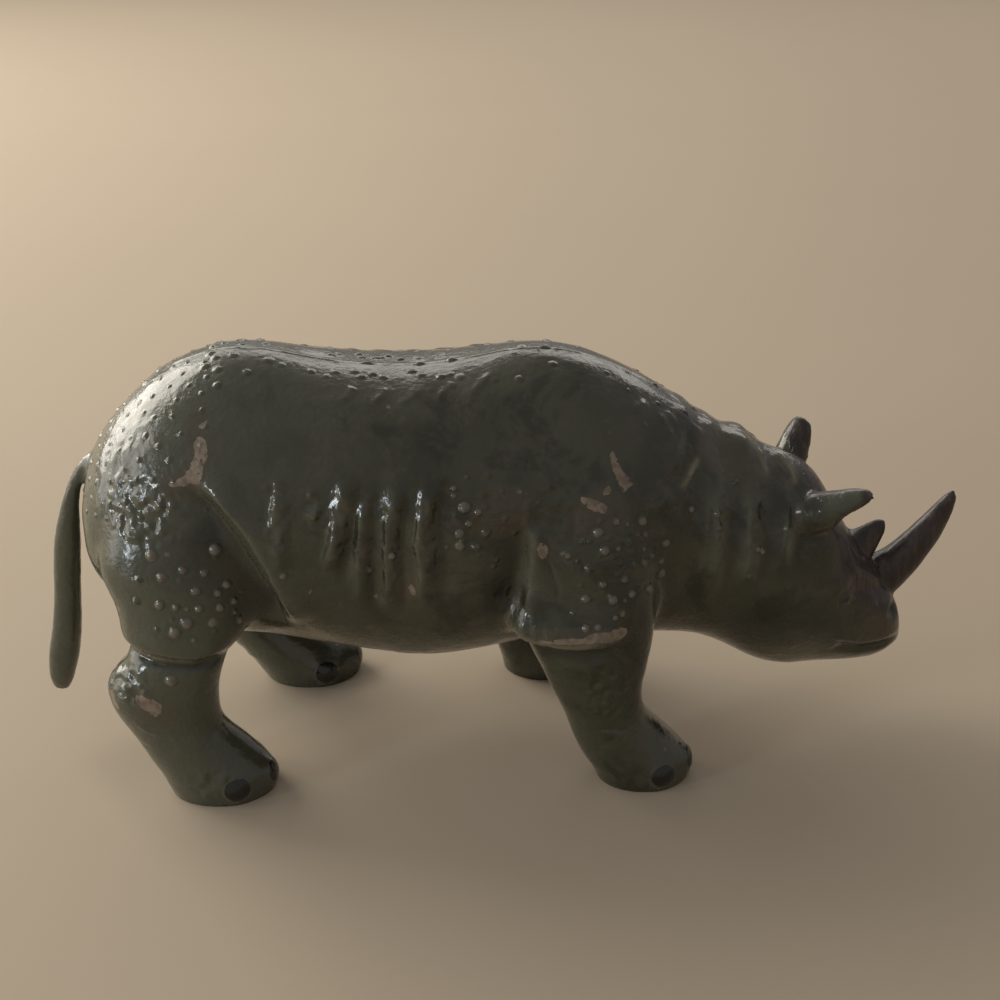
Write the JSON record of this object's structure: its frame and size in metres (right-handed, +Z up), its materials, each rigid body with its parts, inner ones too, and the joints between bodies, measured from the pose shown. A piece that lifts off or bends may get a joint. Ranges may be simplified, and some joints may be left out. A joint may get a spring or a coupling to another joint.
{
  "type": "rhinoceros figurine",
  "caption": "Moulded toy rhinoceros in mid-stride with upright curved horns, cupped ears, warty hide with folds and a hanging tail, standing on flat soles.",
  "frame": {"origin": "middle of the bounding box at the level of the soles", "axes": "+X forwards, from the tail to the horns; +Y towards the figure's left side, the far one in the picture; +Z up"},
  "size_m": [0.132, 0.0436, 0.0606],
  "materials": {
    "olive_paint": "glossy dark olive-green paint, worn to a pinkish brown in spots, with maroon-brown horns and near-black nails"
  },
  "bodies": {
    "root": {"rhinoceros": "olive_paint"}
  },
  "joints": []
}
